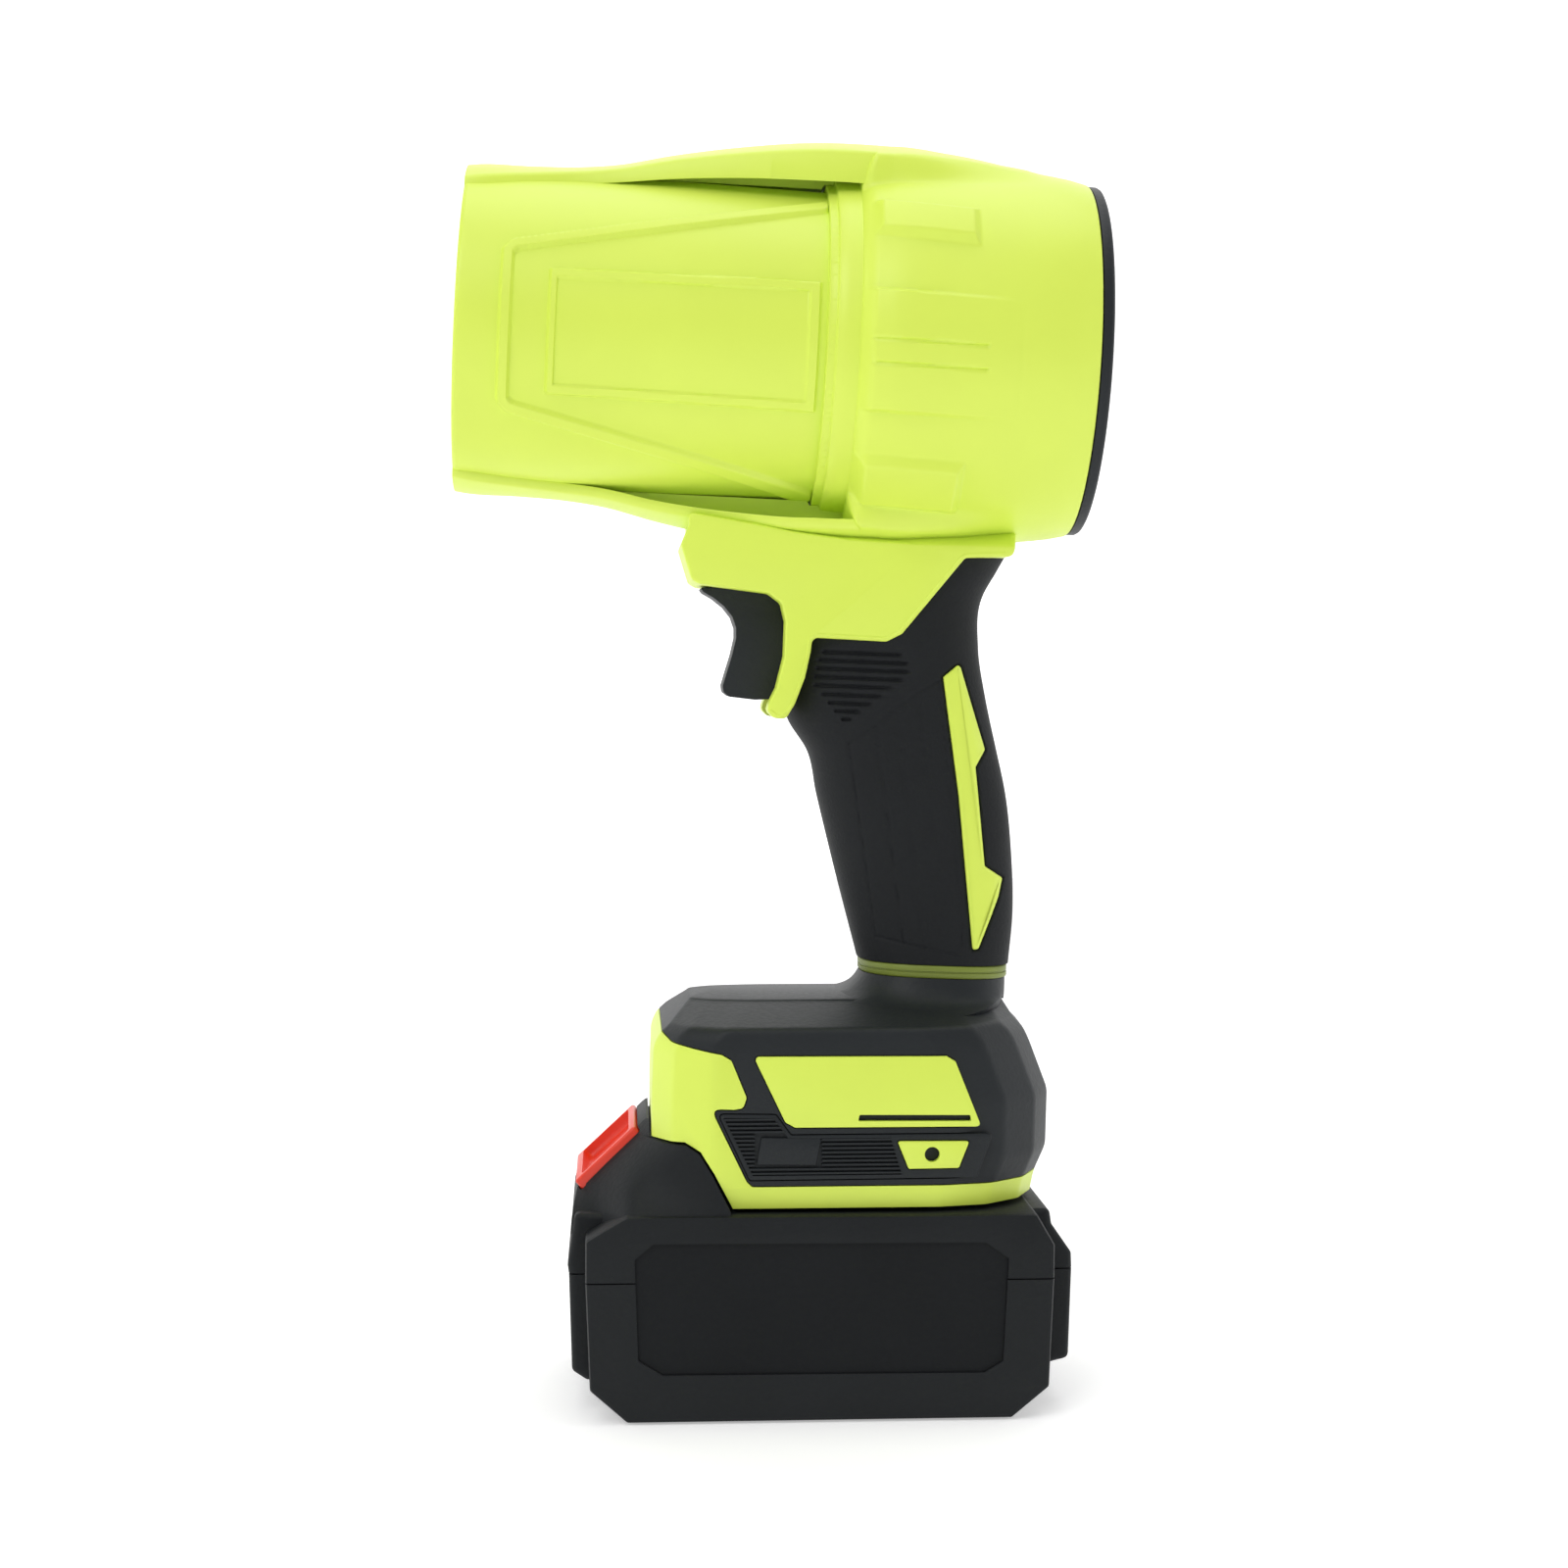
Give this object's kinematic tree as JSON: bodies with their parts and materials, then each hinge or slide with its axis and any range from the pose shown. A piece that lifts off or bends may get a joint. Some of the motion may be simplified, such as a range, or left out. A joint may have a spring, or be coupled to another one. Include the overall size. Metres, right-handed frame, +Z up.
{
  "type": "leaf blower",
  "caption": "Hand-held cordless garden blower with a wide air tube, tubular fan housing, pistol grip with trigger, and a slide-on battery that it stands on.",
  "frame": {"origin": "centre of the battery's flat underside, on the mid-plane, below the grip", "axes": "+Z up, +X rearwards from the nozzle to the air intake, +Y to the side that the screws enter from"},
  "size_m": [0.1503, 0.0866, 0.2901],
  "materials": {
    "aluminium": "die-cast, satin",
    "battery_plastic": "fine texture",
    "black_plastic": "fine texture",
    "brass": "bright",
    "cell_wrap": "film-wrapped steel can",
    "circuit_board": "solder mask",
    "copper": "enamelled copper wire",
    "duct_plastic": "moulded",
    "grip_rubber": "soft, fine texture",
    "lime_plastic": "satin moulded",
    "motor_iron": "laminated iron",
    "olive_lime_plastic": "moulded",
    "red_plastic": "satin moulded",
    "steel": "zinc plated"
  },
  "bodies": {
    "tool": {"bearing_front": "steel", "bearing_rear": "steel", "blade_negative": "brass", "blade_positive": "brass", "control_board": "circuit_board", "foot_left": "black_plastic", "foot_right": "black_plastic", "foot_trim": "lime_plastic", "grip_cover_left": "grip_rubber", "grip_cover_right": "grip_rubber", "grip_inlay_left": "lime_plastic", "grip_inlay_right": "lime_plastic", "grip_ring": "olive_lime_plastic", "guide_vanes": "duct_plastic", "heat_sink": "aluminium", "housing_left": "lime_plastic", "housing_right": "lime_plastic", "intake_grille": "black_plastic", "intake_ring": "black_plastic", "label_plate_left": "lime_plastic", "label_plate_right": "lime_plastic", "motor_cable": "grip_rubber", "motor_end_plate": "aluminium", "motor_stator": "motor_iron", "nozzle_tube": "lime_plastic", "screw_foot_front": "steel", "screw_foot_rear": "steel", "screw_grip_foot": "steel", "screw_grip_middle": "steel", "screw_grip_top": "steel", "screw_middle": "steel", "screw_nose": "steel", "screw_plate_left": "lime_plastic", "screw_plate_right": "lime_plastic", "side_panel_left": "black_plastic", "side_panel_right": "black_plastic", "stator_duct": "duct_plastic", "tail_cone": "duct_plastic", "terminal_block": "black_plastic", "trigger_switch": "black_plastic", "winding_front": "copper", "winding_rear": "copper"},
    "rotor": {"impeller": "black_plastic", "impeller_nut": "steel", "motor_shaft": "steel", "rotor_magnet": "motor_iron"},
    "trigger": {"trigger": "black_plastic", "switch_plunger": "duct_plastic", "trigger_spring": "steel"},
    "battery": {"battery_board": "circuit_board", "battery_lower_case": "battery_plastic", "battery_upper_case": "battery_plastic", "cell_holder_left": "black_plastic", "cell_holder_right": "black_plastic", "cell_row_lower": "cell_wrap", "cell_row_upper": "cell_wrap", "contact_negative": "brass", "contact_positive": "brass"},
    "latch": {"release_button": "red_plastic", "latch_spring": "steel"}
  },
  "joints": [
    {"name": "rotor_spin", "type": "hinge", "parent": "tool", "child": "rotor", "pos_m": [0, 0, 0.2429], "axis": [0.9989, 0, -0.0471], "continuous": true},
    {"name": "trigger_pull", "type": "slide", "parent": "tool", "child": "trigger", "axis": [1, 0, 0], "range_m": [0, 0.006], "stiffness_N_per_m": 400, "springref_m": -0.01},
    {"name": "battery_slide", "type": "slide", "parent": "tool", "child": "battery", "axis": [-1, 0, 0], "range_m": [0, 0.12]},
    {"name": "button_press", "type": "slide", "parent": "battery", "child": "latch", "axis": [0.6794, 0, -0.7337], "range_m": [0, 0.002], "stiffness_N_per_m": 600, "springref_m": -0.004, "deforming": ["latch_spring"]}
  ]
}
